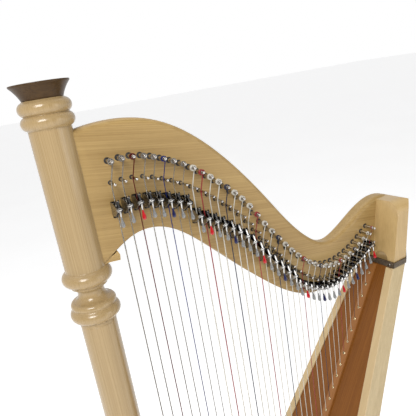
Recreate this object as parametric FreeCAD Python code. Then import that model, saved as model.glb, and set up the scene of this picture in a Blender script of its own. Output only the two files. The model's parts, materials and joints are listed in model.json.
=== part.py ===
"""A 38-string lever harp, standing upright.

Frame while modelling: X runs from the pillar towards the soundbox, Y is across the strings, Z is up.
The pillar's axis is close to X = 0, the strings hang in the plane Y = 0, and the feet stand on Z = 0.
The finished parts are then moved so that the origin is the middle of the footprint, on the floor.
The player sits at the soundbox end, and the levers are on the -Y side of the neck.
"""

import FreeCAD
import Part
import math
import os

V = FreeCAD.Vector

# ---- driving dimensions, millimetres and degrees ----

TOTAL_HEIGHT = 1500.0

STRING_COUNT = 38
WOUND_COUNT = 8                 # the longest strings are wire wound
FIRST_STRING_X = 60.0
STRING_PITCHES = ((4, 17.4), (9, 15.5), (13, 13.9), (38, 12.8))   # (up to string, gap before it)
WOUND_RADII = (0.95, 0.65)      # first and last wound string
PLAIN_RADII = (1.0, 0.32)      # first and last plain string
STRING_LEVEL_Y = -7.0           # where the strings pass the bridge pins and levers

FEET_HEIGHT = 18.0
BASE_TOP = 70.0

PILLAR_X = -2.0
PILLAR_Y = 24.0                 # the pillar and neck stand to one side of the strings
SHAFT_RADIUS = 29.0
HEAD_RADIUS = 31.5
HEAD_BOTTOM = 1122.0            # joint between the shaft and the turned head
CAP_BOTTOM = 1477.0

NECK_THICKNESS = 32.0
NECK_EDGE_RADIUS = 9.0
NECK_LOWER_EDGE_RADIUS = 2.0
NECK_TENON_INSET = 5.0
NECK_LEFT_Y = PILLAR_Y - NECK_THICKNESS / 2
NECK_RIGHT_Y = PILLAR_Y + NECK_THICKNESS / 2

BOARD_LEAN = 29.5               # of the soundboard from upright
BOARD_TOP_X = 584.3             # front of the soundboard where it meets the shoulder
BOX_TOP = 1040.0
BOX_TOP_HALF_WIDTH = 50.5
WIDTH_GROWTH = 0.142            # half-width gained per millimetre down the board
SIDE_DEPTH = 32.5
SIDE_GROWTH = 0.034
BACK_RATIO = 0.40               # half-width of the flat back over that of the board
BACK_RISE = 0.60                # depth of the slanted stave over the half-width
BOARD_THICKNESS = 5.0
STAVE_THICKNESS = 6.0
EDGING_WIDTH = 17.0
EDGING_THICKNESS = 2.5
RIB_WIDTH = 18.0
RIB_THICKNESS = 4.0
INNER_RIB_WIDTH = 30.0
INNER_RIB_THICKNESS = 6.0

SHOULDER_TOP = 1167.0
SHOULDER_FRONT_TOP_X = 608.0
SHOULDER_SIDE_RUNS = (36.6, 32.0)     # along X, at the foot and at the top
SHOULDER_BACK_RUNS = (31.1, 28.0)
SHOULDER_SIDE_SLOPE = 0.069
SHOULDER_BACK_SLOPE = 0.955
SHOULDER_TOP_RADIUS = 30.0
BAND_HALF_HEIGHT = 5.5
BAND_THICKNESS = 1.3

BRIDGE_PIN_LENGTH = 28.0
BRIDGE_PIN_RADIUS = 2.2
BRIDGE_GROOVE_RADIUS = 1.5
TUNING_PIN_LENGTH = 29.0
TUNING_PIN_RADIUS = 3.2
TUNING_PIN_OFFSET_X = 5.0
TUNING_RISES = (34.0, 29.0)     # tuning pin above bridge pin, first and last string
WINDING_Y = -12.0
STRING_GAP = 0.15               # left between a string and the pin it bears on

SEMITONE = 1 - 2 ** (-1 / 12)   # part of a plain string that a lever takes off
WOUND_LEVER_RATIO = 0.037       # a wound string sharpens sooner, because pressing also stretches it
LAST_LONG_LEVER = 22            # shorter strings have no room for the long pattern of lever
# (Y, height above the fret) of the pivot, roller and handle tip, and heights of the plate and screws
LONG_LEVER = {"pivot": (-22.3, 7.0), "roller": (-18.3, 18.5), "roller_radius": 2.8, "tip": (-24.5, -21.0),
              "plate": (-11.0, 15.5), "screws": (-8.0, 11.5)}
SHORT_LEVER = {"pivot": (-14.5, 0.0), "roller": (-15.3, 4.4), "roller_radius": 1.8, "tip": (-20.0, -27.0),
               "plate": (-12.5, 5.5), "screws": (-9.0,)}
SHORT_LEVER_ROOM = 8.6          # least height of a bridge pin above a short lever's pivot
SLEEVE_LENGTH = 15.5
SLEEVE_RADIUS = 3.3
AXLE_RADIUS = 1.4
AXLE_CLEARANCE = 0.05
FRAME_HALF_WIDTH = 4.7
CHEEK = 0.9
PLATE = 1.5
FRET_RADIUS = 1.8
FRET_Y = -3.6

ORIGIN = V(301.0, 0, 0)         # middle of the whole harp's footprint

# Height of the bridge pins over X, and the neck's two edges as (X, Z).
BRIDGE_LINE = ((40, 1337), (90, 1340), (130, 1331), (190, 1300), (270, 1229), (320, 1156),
               (378, 1085), (437, 1046), (500, 1052), (570, 1092), (620, 1125))
NECK_TOP_LINE = ((20, 1426), (75, 1432), (127, 1427), (181, 1406), (233, 1368), (290, 1308),
                 (345, 1236), (404, 1158), (430, 1133), (455, 1117), (475, 1113), (500, 1120),
                 (559, 1153), (610, 1171), (640, 1168))
NECK_LOWER_LINE = ((20, 1212), (63, 1239), (93, 1250), (135, 1245), (176, 1218), (244, 1151),
                   (314, 1082), (355, 1048), (400, 1024), (450, 1017), (505, 1024), (590, 1051), (640, 1068))


# ---- helpers ----

def save(name, solids):
    """Move the node's solids to the row's origin and write them."""
    shape = solids[0] if len(solids) == 1 else Part.makeCompound(solids)
    shape = shape.copy()
    shape.translate(V(-ORIGIN.x, -ORIGIN.y, 0))
    shape.exportStep("parts/%s.step" % name)


def mix(pair, t):
    return pair[0] + (pair[1] - pair[0]) * t


def curve_height(line, x):
    """Height at x of a smooth curve through the line's points, as a cubic between neighbours."""
    i = max(k for k in range(1, len(line) - 2) if line[k][0] <= x or k == 1)
    (x0, z0), (x1, z1), (x2, z2), (x3, z3) = line[i - 1:i + 3]
    t = (x - x1) / (x2 - x1)
    start = (z2 - z0) / (x2 - x0) * (x2 - x1)
    end = (z3 - z1) / (x3 - x1) * (x2 - x1)
    return ((2 * t ** 3 - 3 * t ** 2 + 1) * z1 + (t ** 3 - 2 * t ** 2 + t) * start
            + (3 * t ** 2 - 2 * t ** 3) * z2 + (t ** 3 - t ** 2) * end)


def spline_edge(line, y=0.0):
    curve = Part.BSplineCurve()
    curve.interpolate([V(x, y, z) for x, z in line])
    return curve.toShape()


def polygon_face(points):
    return Part.Face(Part.makePolygon(list(points) + [points[0]]))


def box(x0, x1, y0, y1, z0, z1):
    return Part.makeBox(x1 - x0, y1 - y0, z1 - z0, V(x0, y0, z0))


def rod(radius, start, end):
    run = end - start
    return Part.makeCylinder(radius, run.Length, start, run)


def turned(profile, x, y):
    """A solid turned about the upright axis at x, y, from (radius, z) points and arcs.

    A profile item (radius, z) is a corner, and ("bulge", depth) rounds the run between its neighbours.
    """
    edges = []
    last = None
    bulge = 0.0
    for item in profile:
        if item[0] == "bulge":
            bulge = item[1]
            continue
        point = V(x + item[0], y, item[1])
        if last is not None and bulge:
            middle = (last + point) * 0.5
            run = point - last
            side = V(run.z, 0, -run.x).normalize()
            edges.append(Part.Arc(last, middle + side * bulge, point).toShape())
        elif last is not None:
            edges.append(Part.LineSegment(last, point).toShape())
        last = point
        bulge = 0.0
    first = V(x + profile[0][0], y, profile[0][1])
    if (first - last).Length > 1e-6:
        edges.append(Part.LineSegment(last, first).toShape())
    face = Part.Face(Part.Wire(edges))
    return face.revolve(V(x, y, 0), V(0, 0, 1), 360)


# ---- where the strings are ----

def string_x(number):
    x = FIRST_STRING_X
    for n in range(2, number + 1):
        x += next(gap for last, gap in STRING_PITCHES if n <= last)
    return x


def string_radius(number):
    if number <= WOUND_COUNT:
        return mix(WOUND_RADII, (number - 1) / (WOUND_COUNT - 1))
    return mix(PLAIN_RADII, (number - WOUND_COUNT - 1) / (STRING_COUNT - WOUND_COUNT - 1))


def board_point(down, y, depth):
    """A point `down` the soundboard from its top and `depth` behind its front face."""
    lean = math.radians(BOARD_LEAN)
    x = BOARD_TOP_X - down * math.sin(lean) + depth * math.cos(lean)
    z = BOX_TOP - down * math.cos(lean) - depth * math.sin(lean)
    return V(x, y, z)


def board_down(x, depth):
    """How far down the board lies the point at x and `depth` behind its front face."""
    lean = math.radians(BOARD_LEAN)
    return (BOARD_TOP_X + depth * math.cos(lean) - x) / math.sin(lean)


EYELET_HEIGHT = 1.2
STRING_START_DEPTH = -RIB_THICKNESS - EYELET_HEIGHT - WOUND_RADII[0] - 0.2


def string_foot(number):
    x = string_x(number)
    return board_point(board_down(x, STRING_START_DEPTH), 0, STRING_START_DEPTH)


def bridge_z(number):
    return curve_height(BRIDGE_LINE, string_x(number))


def fret_z(number):
    length = bridge_z(number) - string_foot(number).z
    ratio = WOUND_LEVER_RATIO if number <= WOUND_COUNT else SEMITONE
    drop = ratio * length
    if number > LAST_LONG_LEVER:
        drop = max(drop, SHORT_LEVER_ROOM)
    return bridge_z(number) - drop


def tuning_point(number):
    rise = mix(TUNING_RISES, (number - 1) / (STRING_COUNT - 1))
    return V(string_x(number) + TUNING_PIN_OFFSET_X, WINDING_Y, bridge_z(number) + rise)


# ---- base and feet ----

def base():
    outline = [(-66, 50), (18, 222), (140, 216), (332, 112)]
    corners = [V(x, y, FEET_HEIGHT) for x, y in outline]
    corners += [V(x, -y, FEET_HEIGHT) for x, y in reversed(outline)]
    block = polygon_face(corners).extrude(V(0, 0, BASE_TOP - FEET_HEIGHT))
    upright = [e for e in block.Edges if abs(e.BoundBox.ZLength - (BASE_TOP - FEET_HEIGHT)) < 1e-6]
    block = block.makeFillet(24.0, upright)
    rim = [e for e in block.Edges if e.BoundBox.ZMin > BASE_TOP - 1e-3]
    return block.makeFillet(8.0, rim)


def feet():
    places = [(-32, -34), (-32, 34), (300, -92), (300, 92)]
    profile = [(0, 0), (13, 0), (15, 2), (18, FEET_HEIGHT), (0, FEET_HEIGHT)]
    return [turned(profile, x, y) for x, y in places]


# ---- pillar ----

def pillar_shaft():
    profile = [(0, BASE_TOP), (30.5, BASE_TOP), (30.5, 84), ("bulge", 3.5), (31, 100), (31, 103),
               ("bulge", -1.5), (SHAFT_RADIUS, 116), (SHAFT_RADIUS, HEAD_BOTTOM), (0, HEAD_BOTTOM)]
    return turned(profile, PILLAR_X, PILLAR_Y)


def head_profile():
    return [
        (0, HEAD_BOTTOM), (29.5, HEAD_BOTTOM), (29.5, 1128), (35, 1131),
        ("bulge", 5), (35.5, 1150), (35, 1151.5), (35.5, 1153),
        ("bulge", 3.5), (29, 1163), (24, 1167), ("bulge", -2.5), (23, 1183),
        (29, 1186), (29, 1190), ("bulge", 9.5), (31.5, 1214), (HEAD_RADIUS, 1216),
        (HEAD_RADIUS, 1435), ("bulge", 6.8), (32.5, 1455.5), ("bulge", 6.8), (31, CAP_BOTTOM - 1),
        (30, CAP_BOTTOM), (0, CAP_BOTTOM)]


def pillar_head(neck_shape):
    return turned(head_profile(), PILLAR_X, PILLAR_Y).cut(neck_shape)


def pillar_cap():
    profile = [(0, CAP_BOTTOM), (29.5, CAP_BOTTOM), ("bulge", -1.2), (42.5, TOTAL_HEIGHT - 2.5),
               (43, TOTAL_HEIGHT), (0, TOTAL_HEIGHT)]
    return turned(profile, PILLAR_X, PILLAR_Y)


# ---- neck ----

def upright_edge(line_a, line_b, end):
    """The straight end of the plank, between the first or last points of its two edges."""
    (xa, za), (xb, zb) = line_a[end], line_b[end]
    return Part.LineSegment(V(xa, NECK_LEFT_Y, za), V(xb, NECK_LEFT_Y, zb)).toShape()


def neck_blank():
    """The curved plank, from inside the pillar to inside the shoulder."""
    top = spline_edge(NECK_TOP_LINE, NECK_LEFT_Y)
    low = spline_edge(NECK_LOWER_LINE, NECK_LEFT_Y)
    near = upright_edge(NECK_TOP_LINE, NECK_LOWER_LINE, 0)
    far = upright_edge(NECK_TOP_LINE, NECK_LOWER_LINE, -1)
    plank = Part.Face(Part.Wire([top, far, low, near])).extrude(V(0, NECK_THICKNESS, 0))
    upper = [e for e in plank.Edges if e.BoundBox.XLength > 300 and e.BoundBox.ZMax > 1400]
    plank = plank.makeFillet(NECK_EDGE_RADIUS, upper)
    lower = [e for e in plank.Edges if e.BoundBox.XLength > 300 and e.BoundBox.ZMax < 1300]
    return plank.makeFillet(NECK_LOWER_EDGE_RADIUS, lower)


def neck(block):
    """The plank fitted round the pillar and against the shoulder block, with a tenon into each."""
    core = Part.makeCylinder(HEAD_RADIUS, 500, V(PILLAR_X, PILLAR_Y, 1100), V(0, 0, 1))
    plank = neck_blank().cut(core).cut(block)
    body = max(plank.Solids, key=lambda s: s.Volume)
    y0 = NECK_LEFT_Y + NECK_TENON_INSET
    y1 = NECK_RIGHT_Y - NECK_TENON_INSET
    for x0, x1, z0, z1 in ((12, 40, 1245, 1410), (585, 628, 1062, 1145)):
        body = body.fuse(box(x0, x1, y0, y1, z0, z1))
    return body.removeSplitter().Solids[0]


def neck_ledge(head, neck_shape):
    """The small corbel under the neck's end, against the pillar."""
    points = [(26, 1214), (35, 1215), (52, 1213.5), (53.5, 1222), (50.5, 1229.5), (44, 1225), (26, 1222)]
    block = polygon_face([V(x, NECK_LEFT_Y + 2, z) for x, z in points])
    block = block.extrude(V(0, NECK_THICKNESS - 4, 0))
    return max(block.cut(head).cut(neck_shape).Solids, key=lambda s: s.Volume)


# ---- soundbox ----

def box_outline(down):
    """Outer corners (y, depth) of the box where it is `down` the board, right edge to left edge."""
    w = BOX_TOP_HALF_WIDTH + WIDTH_GROWTH * down
    side = SIDE_DEPTH + SIDE_GROWTH * down
    back = side + BACK_RISE * w
    return [(w, 0), (w, side), (BACK_RATIO * w, back), (-BACK_RATIO * w, back), (-w, side), (-w, 0)]


def inset_corners(points, distance):
    """The corners of an open outline moved inwards, each run by the same distance."""
    runs = []
    for (y0, d0), (y1, d1) in zip(points, points[1:]):
        length = math.hypot(y1 - y0, d1 - d0)
        normal = (-(d1 - d0) / length, (y1 - y0) / length)
        runs.append(((y0 + normal[0] * distance, d0 + normal[1] * distance), (y1 - y0, d1 - d0)))
    corners = [runs[0][0]]
    for (p, u), (q, w) in zip(runs, runs[1:]):
        t = ((q[0] - p[0]) * w[1] - (q[1] - p[1]) * w[0]) / (u[0] * w[1] - u[1] * w[0])
        corners.append((p[0] + u[0] * t, p[1] + u[1] * t))
    last, run = runs[-1]
    corners.append((last[0] + run[0], last[1] + run[1]))
    return corners


BOARD_REACH = (-80.0, 1260.0)   # the lofts run past both ends and are then cut level


def board_loft(section):
    """A solid along the board, from the closed outline (y, depth) that section(down) gives."""
    wires = []
    for down in BOARD_REACH:
        points = [board_point(down, y, depth) for y, depth in section(down)]
        wires.append(Part.makePolygon(points + [points[0]]))
    return Part.makeLoft(wires, True, True)


def level_cut(shape, bottom=BASE_TOP, top=BOX_TOP):
    return shape.common(box(-300, 1200, -600, 600, bottom, top))


def stave(index):
    def section(down):
        outer = box_outline(down)
        inner = inset_corners(outer, STAVE_THICKNESS)
        return [outer[index], outer[index + 1], inner[index + 1], inner[index]]
    return level_cut(board_loft(section))


SOUND_HOLES = ((285, 18, 70), (520, 26, 90), (770, 32, 100))     # down the board, radius, straight part


def sound_hole(down, radius, straight):
    """A long rounded opening through the flat back."""
    solids = []
    depth = box_outline(down)[2][1]
    axis = board_point(0, 0, 1) - board_point(0, 0, 0)
    for end in (-straight / 2, straight / 2):
        solids.append(Part.makeCylinder(radius, 80, board_point(down + end, 0, depth - 40), axis))
    half = straight / 2
    ends = ((-half, -radius), (half, -radius), (half, radius), (-half, radius))
    corners = [board_point(down + a, b, depth - 40) for a, b in ends]
    solids.append(polygon_face(corners).extrude(axis * 80))
    return solids[0].multiFuse(solids[1:])


BACK_JOINTS = (400.0, 645.0)    # down the board, where the lengths of the flat back meet on braces


def back_lengths():
    """The flat back with its sound holes, in three lengths."""
    panel = stave(2)
    for hole in SOUND_HOLES:
        panel = panel.cut(sound_hole(*hole))
    lengths = []
    ends = (BOARD_REACH[0],) + BACK_JOINTS + (BOARD_REACH[1],)
    for start, end in zip(ends, ends[1:]):
        square = ((-300, 0), (300, 0), (300, 300), (-300, 300))
        corners = [board_point(start, y, depth) for y, depth in square]
        slab = polygon_face(corners).extrude(board_point(end, 0, 0) - board_point(start, 0, 0))
        lengths.append(panel.common(slab))
    return lengths


def soundbox_staves():
    staves = [stave(index) for index in (0, 1, 3, 4)] + back_lengths()
    return [s.Solids[0] for s in staves]


def strip(y0, y1, front, back, top, bottom=BASE_TOP):
    """A straight strip along the board between two depths."""
    return level_cut(board_loft(lambda down: [(y0, front), (y1, front), (y1, back), (y0, back)]),
                     bottom, top)


def soundboard():
    """The front, let in between the two side staves."""
    def section(down):
        w = BOX_TOP_HALF_WIDTH + WIDTH_GROWTH * down - STAVE_THICKNESS
        return [(-w, 0), (w, 0), (w, BOARD_THICKNESS), (-w, BOARD_THICKNESS)]
    return level_cut(board_loft(section))


TRIM_TOP = BOX_TOP - BAND_HALF_HEIGHT - 1.5


def board_edging():
    def section_of(side):
        def section(down):
            w = BOX_TOP_HALF_WIDTH + WIDTH_GROWTH * down
            ys = (side * w, side * (w - EDGING_WIDTH))
            return [(ys[0], -EDGING_THICKNESS), (ys[1], -EDGING_THICKNESS), (ys[1], 0), (ys[0], 0)]
        return section
    return [level_cut(board_loft(section_of(side)), BASE_TOP, TRIM_TOP) for side in (-1, 1)]


def string_rib():
    return strip(-RIB_WIDTH / 2, RIB_WIDTH / 2, -RIB_THICKNESS, 0, TRIM_TOP)


def inner_rib():
    half = INNER_RIB_WIDTH / 2
    deep = BOARD_THICKNESS + INNER_RIB_THICKNESS
    return strip(-half, half, BOARD_THICKNESS, deep, BOX_TOP - 12, BASE_TOP + 12)


BRACE_PLACES = (150.0,) + BACK_JOINTS + (920.0,)


def back_braces():
    """Straight bars across the inside of the flat back, between the sound holes."""
    bars = []
    for down in BRACE_PLACES:
        outline = inset_corners(box_outline(down - 10), STAVE_THICKNESS)
        half = outline[2][0] - 4
        slope = SIDE_GROWTH + BACK_RISE * WIDTH_GROWTH
        corners = []
        for offset, lift in ((-10, 0), (10, 0), (8, 14), (-8, 14)):
            depth = box_outline(down)[2][1] + slope * offset - STAVE_THICKNESS * 1.01 - lift
            corners.append(board_point(down + offset, -half, depth))
        bars.append(polygon_face(corners).extrude(V(0, 2 * half, 0)))
    return bars


def eyelets():
    rings = []
    axis = board_point(0, 0, -1) - board_point(0, 0, 0)
    for number in range(1, STRING_COUNT + 1):
        x = string_x(number)
        foot = board_point(board_down(x, -RIB_THICKNESS), 0, -RIB_THICKNESS)
        ring = Part.makeCylinder(3.0, EYELET_HEIGHT, foot, axis)
        rings.append(ring.cut(Part.makeCylinder(1.5, EYELET_HEIGHT, foot, axis)))
    return rings


# ---- shoulder ----

def shoulder_corners(z, grow=0.0):
    """Plan corners of the shoulder at height z, optionally grown outwards."""
    t = (z - BOX_TOP) / (SHOULDER_TOP - BOX_TOP)
    front = mix((BOARD_TOP_X, SHOULDER_FRONT_TOP_X), t)
    w = BOX_TOP_HALF_WIDTH + grow
    side_run = mix(SHOULDER_SIDE_RUNS, t)
    back_run = mix(SHOULDER_BACK_RUNS, t)
    y_side = w - side_run * SHOULDER_SIDE_SLOPE
    y_back = y_side - back_run * SHOULDER_BACK_SLOPE
    half = [(front - grow, w), (front + side_run, y_side), (front + side_run + back_run + grow, y_back)]
    return [V(x, y, z) for x, y in half] + [V(x, -y, z) for x, y in reversed(half)]


def shoulder_loft(z0, z1, grow=0.0):
    wires = []
    for z in (z0, z1):
        points = shoulder_corners(z, grow)
        wires.append(Part.makePolygon(points + [points[0]]))
    return Part.makeLoft(wires, True, True)


def shoulder_blank():
    """The block's outside: its sides slope in behind, and its top is rounded to the sides and the back."""
    back = SHOULDER_FRONT_TOP_X + SHOULDER_SIDE_RUNS[1] + SHOULDER_BACK_RUNS[1]
    roof = box(BOARD_TOP_X - 50, back, -BOX_TOP_HALF_WIDTH, BOX_TOP_HALF_WIDTH, BOX_TOP - 1, SHOULDER_TOP)
    top = [e for e in roof.Edges if e.BoundBox.ZMin > SHOULDER_TOP - 1e-3 and e.BoundBox.XMax > back - 1e-3]
    roof = roof.makeFillet(SHOULDER_TOP_RADIUS, top)
    return shoulder_loft(BOX_TOP, SHOULDER_TOP).common(roof).Solids[0]


def shoulder(neck_shape):
    block = shoulder_blank().cut(neck_shape)
    # a scooped arch at the foot of the front face leaves room for the shortest string's lever
    centre = V(BOARD_TOP_X - 2, -16, BOX_TOP + 4)
    scoop = Part.makeCylinder(17, 9, centre, V(1, 0, 0))
    return max(block.cut(scoop).Solids, key=lambda s: s.Volume)


def shoulder_band(box_solid, block, neck_shape):
    z0 = BOX_TOP - BAND_HALF_HEIGHT
    z1 = BOX_TOP + BAND_HALF_HEIGHT
    lean = math.tan(math.radians(BOARD_LEAN)) * BAND_HALF_HEIGHT
    ring = shoulder_loft(BOX_TOP, BOX_TOP + 2 * BAND_HALF_HEIGHT, BAND_THICKNESS + lean * 0.5)
    ring.translate(V(-lean * 0.5, 0, -BAND_HALF_HEIGHT))
    ring = ring.common(box(0, 1200, -300, 300, z0, z1))
    ring = ring.cut(box_solid).cut(block).cut(neck_shape)
    return max(ring.Solids, key=lambda s: s.Volume)


# ---- pins ----

def bridge_pins():
    pins = []
    for number in range(1, STRING_COUNT + 1):
        x = string_x(number) + BRIDGE_GROOVE_RADIUS + string_radius(number) + STRING_GAP
        z = bridge_z(number)
        y = NECK_LEFT_Y
        body = rod(BRIDGE_PIN_RADIUS, V(x, y, z), V(x, y - BRIDGE_PIN_LENGTH, z))
        half = string_radius(number) + 0.3
        outer = rod(BRIDGE_PIN_RADIUS + 1, V(x, STRING_LEVEL_Y - half, z), V(x, STRING_LEVEL_Y + half, z))
        inner = rod(BRIDGE_GROOVE_RADIUS, V(x, STRING_LEVEL_Y - half, z), V(x, STRING_LEVEL_Y + half, z))
        pins.append(body.cut(outer.cut(inner)))
    return pins


def tuning_pins():
    pins = []
    for number in range(1, STRING_COUNT + 1):
        at = tuning_point(number)
        start = V(at.x, NECK_LEFT_Y, at.z)
        end = V(at.x, NECK_LEFT_Y - TUNING_PIN_LENGTH, at.z)
        shank = rod(TUNING_PIN_RADIUS, start, end)
        side = TUNING_PIN_RADIUS * 1.45
        square = box(at.x - side / 2, at.x + side / 2, end.y - 5, end.y, at.z - side / 2, at.z + side / 2)
        pins.append(shank.fuse(square))
    return pins


# ---- strings ----

def string_solid(number):
    """From its eyelet up past its bridge pin, then to its turns round the tuning pin."""
    radius = string_radius(number)
    foot = string_foot(number)
    crook = V(string_x(number), STRING_LEVEL_Y, bridge_z(number))
    pin = tuning_point(number)
    ring_radius = TUNING_PIN_RADIUS + 2 * radius
    top = V(pin.x + TUNING_PIN_RADIUS + radius + STRING_GAP, WINDING_Y, pin.z)
    path = Part.makePolygon([foot, crook, top])
    circle = Part.Wire(Part.Circle(foot, crook - foot, radius).toShape())
    body = path.makePipeShell([circle], True, False, 1)
    half = 3.5 * radius
    low = V(pin.x, WINDING_Y - half, pin.z)
    high = V(pin.x, WINDING_Y + half, pin.z)
    turns = rod(ring_radius, low, high).cut(rod(TUNING_PIN_RADIUS + 0.02, low, high))
    return body.fuse(turns).Solids[0]


def strings(first, last):
    return [string_solid(number) for number in range(first, last + 1)]


# ---- levers ----

def lever_kind(number):
    return LONG_LEVER if number <= LAST_LONG_LEVER else SHORT_LEVER


def lever_point(number, name):
    y, rise = lever_kind(number)[name]
    return V(string_x(number), y, fret_z(number) + rise)


def lever_frame(number):
    """A plate on the neck, two cheeks that carry the pivot, and the fret between them."""
    x = string_x(number)
    z = fret_z(number)
    pivot = lever_point(number, "pivot")
    low, high = lever_kind(number)["plate"]
    w = FRAME_HALF_WIDTH
    back = NECK_LEFT_Y - PLATE / 2
    plate = box(x - w, x + w, NECK_LEFT_Y - PLATE, NECK_LEFT_Y, z + low, z + high)
    nose = 3.2
    outline = [(back, z + low + 3), (back, z + high - 0.5), (FRET_Y - 4, z + high - 0.5),
               (pivot.y - 0.4 * nose, pivot.z + nose), (pivot.y - nose, pivot.z + 0.4 * nose),
               (pivot.y - nose, pivot.z - 0.4 * nose), (pivot.y - 0.4 * nose, pivot.z - nose),
               (FRET_Y - 4, z + low + 6)]
    pieces = []
    for left in (x - w, x + w - CHEEK):
        pieces.append(polygon_face([V(left, y, h) for y, h in outline]).extrude(V(CHEEK, 0, 0)))
    pieces.append(rod(FRET_RADIUS, V(x - w + CHEEK / 2, FRET_Y, z), V(x + w - CHEEK / 2, FRET_Y, z)))
    frame = plate.multiFuse(pieces)
    bore = rod(AXLE_RADIUS + AXLE_CLEARANCE, pivot - V(w + 1, 0, 0), pivot + V(w + 1, 0, 0))
    return frame.cut(bore).Solids[0]


def tapered_bar(start, end, start_half, end_half, half_width):
    """A flat bar in an upright plane across the strings, wider or narrower at its end."""
    run = (end - start).normalize()
    side = V(0, run.z, -run.y)
    corners = [start + side * start_half, end + side * end_half,
               end - side * end_half, start - side * start_half]
    return polygon_face([c - V(half_width, 0, 0) for c in corners]).extrude(V(2 * half_width, 0, 0))


def lever(number):
    """Arm with its axle, two discs that straddle the string, and the sleeve on its handle."""
    pivot = lever_point(number, "pivot")
    roller = lever_point(number, "roller")
    tip = lever_point(number, "tip")
    roller_radius = lever_kind(number)["roller_radius"]
    along = (tip - pivot).normalize()
    sleeve_top = tip - along * SLEEVE_LENGTH
    reach = V(FRAME_HALF_WIDTH + 0.5, 0, 0)
    hub_half = V(2.6, 0, 0)
    core_half = V(2.7, 0, 0)
    core = rod(0.9, roller - core_half, roller + core_half)
    arm = rod(2.4, pivot - hub_half, pivot + hub_half).multiFuse([
        rod(AXLE_RADIUS, pivot - reach, pivot + reach),
        tapered_bar(roller, pivot, 0.9, 1.8, 1.4),
        tapered_bar(pivot, sleeve_top, 1.8, 0.9, 1.4),
        core])
    discs = [rod(roller_radius, roller + V(a, 0, 0), roller + V(b, 0, 0)).cut(core)
             for a, b in ((-2.7, -1.45), (1.45, 2.7))]
    taper = SLEEVE_LENGTH - SLEEVE_RADIUS
    sleeve = Part.makeCone(1.7, SLEEVE_RADIUS, taper, sleeve_top, along)
    sleeve = sleeve.fuse(Part.makeSphere(SLEEVE_RADIUS, sleeve_top + along * taper))
    return [arm.Solids[0], sleeve.Solids[0]] + [disc.Solids[0] for disc in discs]


# ---- screws ----

def screw_head(at, axis, radius):
    return Part.makeSphere(radius, at, axis, 0, 90, 360)


def screws():
    """The domed heads of the screws that hold the lever frames."""
    heads = []
    for number in range(1, STRING_COUNT + 1):
        for offset in lever_kind(number)["screws"]:
            at = V(string_x(number), NECK_LEFT_Y - PLATE, fret_z(number) + offset)
            heads.append(screw_head(at, V(0, -1, 0), 2.0))
    return heads


def band_screws(band):
    """Small domed heads on the front of the band."""
    heads = []
    lean = math.tan(math.radians(BOARD_LEAN))
    front = BOARD_TOP_X - BAND_THICKNESS - lean * BAND_HALF_HEIGHT * 0.4
    for y in (-42, 42):
        head = screw_head(V(front, y, BOX_TOP), V(-1, 0, 0), 2.2).cut(band)
        heads.append(max(head.Solids, key=lambda s: s.Volume))
    return heads


def main():
    os.makedirs("parts", exist_ok=True)
    block = shoulder_blank()
    neck_shape = neck(block)
    shell = level_cut(board_loft(box_outline))
    head = pillar_head(neck_shape)
    band = shoulder_band(shell, block, neck_shape)
    nodes = {
        "base": [base()],
        "feet": feet(),
        "pillar_shaft": [pillar_shaft()],
        "pillar_head": [head],
        "pillar_cap": [pillar_cap()],
        "neck": [neck_shape],
        "neck_ledge": [neck_ledge(head, neck_shape)],
        "shoulder": [shoulder(neck_shape)],
        "shoulder_band": [band],
        "soundbox_staves": soundbox_staves(),
        "soundboard": [soundboard()],
        "board_edging": board_edging(),
        "string_rib": [string_rib()],
        "inner_rib": [inner_rib()],
        "back_braces": back_braces(),
        "eyelets": eyelets(),
        "bridge_pins": bridge_pins(),
        "tuning_pins": tuning_pins(),
        "strings_wound": strings(1, WOUND_COUNT),
        "strings_plain": strings(WOUND_COUNT + 1, STRING_COUNT),
        "lever_frames": [lever_frame(n) for n in range(1, STRING_COUNT + 1)],
        "screws": screws() + band_screws(band),
    }
    for number in range(1, STRING_COUNT + 1):
        nodes["lever_%02d" % number] = lever(number)
    for name, solids in nodes.items():
        save(name, solids)


main()
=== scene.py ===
import json
import math

import bpy
from mathutils import Matrix, Vector


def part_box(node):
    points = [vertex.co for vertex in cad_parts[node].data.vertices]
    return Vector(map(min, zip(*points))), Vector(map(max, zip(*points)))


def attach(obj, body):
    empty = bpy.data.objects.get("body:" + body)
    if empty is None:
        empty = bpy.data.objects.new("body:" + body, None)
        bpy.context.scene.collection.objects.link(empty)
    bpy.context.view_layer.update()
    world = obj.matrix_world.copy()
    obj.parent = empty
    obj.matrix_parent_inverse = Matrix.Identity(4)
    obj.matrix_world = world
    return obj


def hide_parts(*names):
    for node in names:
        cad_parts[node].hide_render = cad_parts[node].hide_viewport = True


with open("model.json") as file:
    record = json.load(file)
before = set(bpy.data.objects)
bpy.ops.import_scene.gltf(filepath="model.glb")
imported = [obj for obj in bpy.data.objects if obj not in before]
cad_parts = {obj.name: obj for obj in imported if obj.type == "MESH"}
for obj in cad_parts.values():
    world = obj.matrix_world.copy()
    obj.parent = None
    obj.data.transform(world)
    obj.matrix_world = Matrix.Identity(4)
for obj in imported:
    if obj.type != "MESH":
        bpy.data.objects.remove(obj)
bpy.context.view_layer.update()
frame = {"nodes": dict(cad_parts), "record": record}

NODES = frame["nodes"]
MM = 0.001

# ---- driving sizes, in metres unless a name says otherwise ----

STRING_LEVEL_Y = -7.0 * MM      # where the strings pass the bridge pins
WINDING_Y = -12.0 * MM          # middle of a string's turns on its tuning pin
WINDING_TURNS = 3.25
NECK_FACE_Y = 8.0 * MM
WOUND_COUNT = 8
OCTAVE = 7                      # strings in an octave
FIRST_RED = 3                   # the lowest C
FIRST_BLUE = 6                  # the lowest F
BOARD_LEAN_DEG = 29.5

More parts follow.
